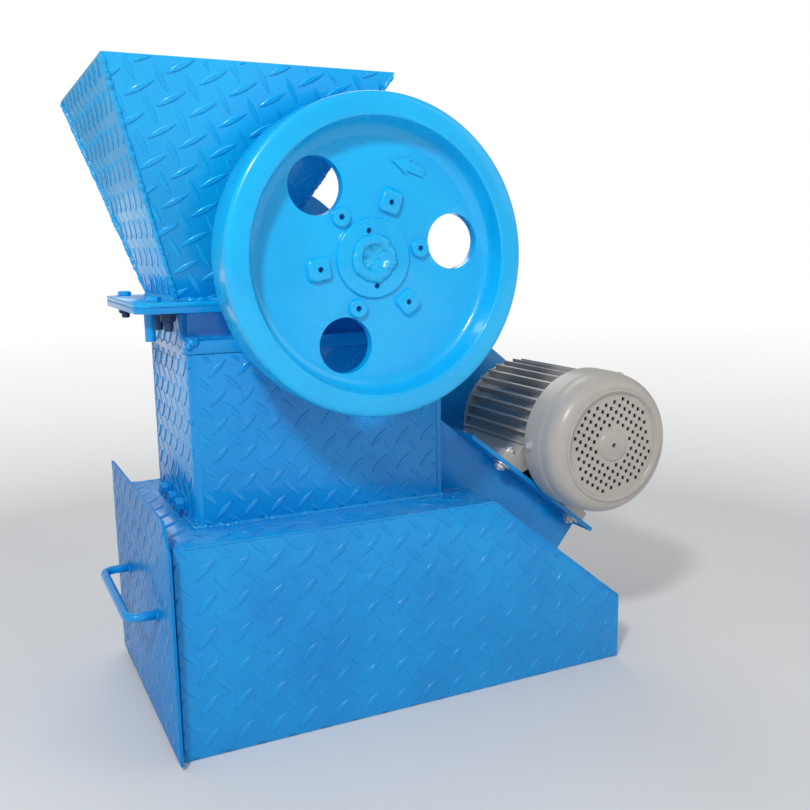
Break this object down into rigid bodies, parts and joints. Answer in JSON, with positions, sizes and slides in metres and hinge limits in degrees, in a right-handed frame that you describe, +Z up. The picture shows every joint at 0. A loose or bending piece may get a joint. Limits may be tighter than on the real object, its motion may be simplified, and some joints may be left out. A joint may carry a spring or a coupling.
{
  "type": "jaw crusher",
  "caption": "Small jaw crusher on a checker plate base, with a flared hopper, a disc flywheel, a belt-driving motor on a sloping shelf and a drawer that catches the crushed stone.",
  "frame": {"origin": "middle of the base's underside, at floor level", "axes": "+X from the drawer towards the motor, +Y from the flywheel towards the belt guard, +Z up"},
  "size_m": [0.8115, 0.4558, 0.851],
  "materials": {
    "blue_paint": "gloss",
    "painted_casting": "gloss",
    "bare_casting": "rough",
    "bare_steel": "satin",
    "motor_grey": "satin",
    "belt_rubber": "matt"
  },
  "bodies": {
    "machine": {"base_side_near": "blue_paint", "base_side_far": "blue_paint", "base_top_plate": "blue_paint", "base_slope_plate": "blue_paint", "base_tail_plate": "blue_paint", "base_floor": "blue_paint", "drawer_runners": "blue_paint", "casing_side_near": "blue_paint", "casing_side_far": "blue_paint", "casing_front": "blue_paint", "casing_rear": "blue_paint", "ledge_near": "blue_paint", "ledge_far": "blue_paint", "frame_plate_near": "blue_paint", "frame_plate_far": "blue_paint", "body_flange": "blue_paint", "hopper_flange": "blue_paint", "hopper_front": "blue_paint", "hopper_rear": "blue_paint", "hopper_side_near": "blue_paint", "hopper_side_far": "blue_paint", "fixed_jaw": "bare_casting", "moving_jaw": "bare_casting", "swing_jaw_plate": "bare_casting", "cheek_plates": "bare_casting", "toggle_plate": "bare_casting", "toggle_seat": "bare_casting", "bearing_near": "painted_casting", "bearing_far": "painted_casting", "bracket_near": "blue_paint", "bracket_far": "blue_paint", "motor_shelf": "blue_paint", "motor_frame": "motor_grey", "motor_shield": "motor_grey", "motor_cowl": "motor_grey", "motor_terminal_box": "motor_grey", "motor_shaft": "bare_steel", "motor_pulley": "bare_casting", "drive_belt": "belt_rubber", "belt_guard": "blue_paint"},
    "shaft": {"flywheel": "painted_casting", "main_shaft": "bare_steel", "driven_pulley": "bare_casting"},
    "drawer": {"drawer_front": "blue_paint", "drawer_tray": "blue_paint", "drawer_handle": "blue_paint"}
  },
  "joints": [
    {"name": "shaft_spin", "type": "hinge", "parent": "machine", "child": "shaft", "pos_m": [-0.08, 0, 0.625], "axis": [0, 1, 0], "continuous": true},
    {"name": "drawer_slide", "type": "slide", "parent": "machine", "child": "drawer", "axis": [-1, 0, 0], "range_m": [0, 0.3]}
  ]
}
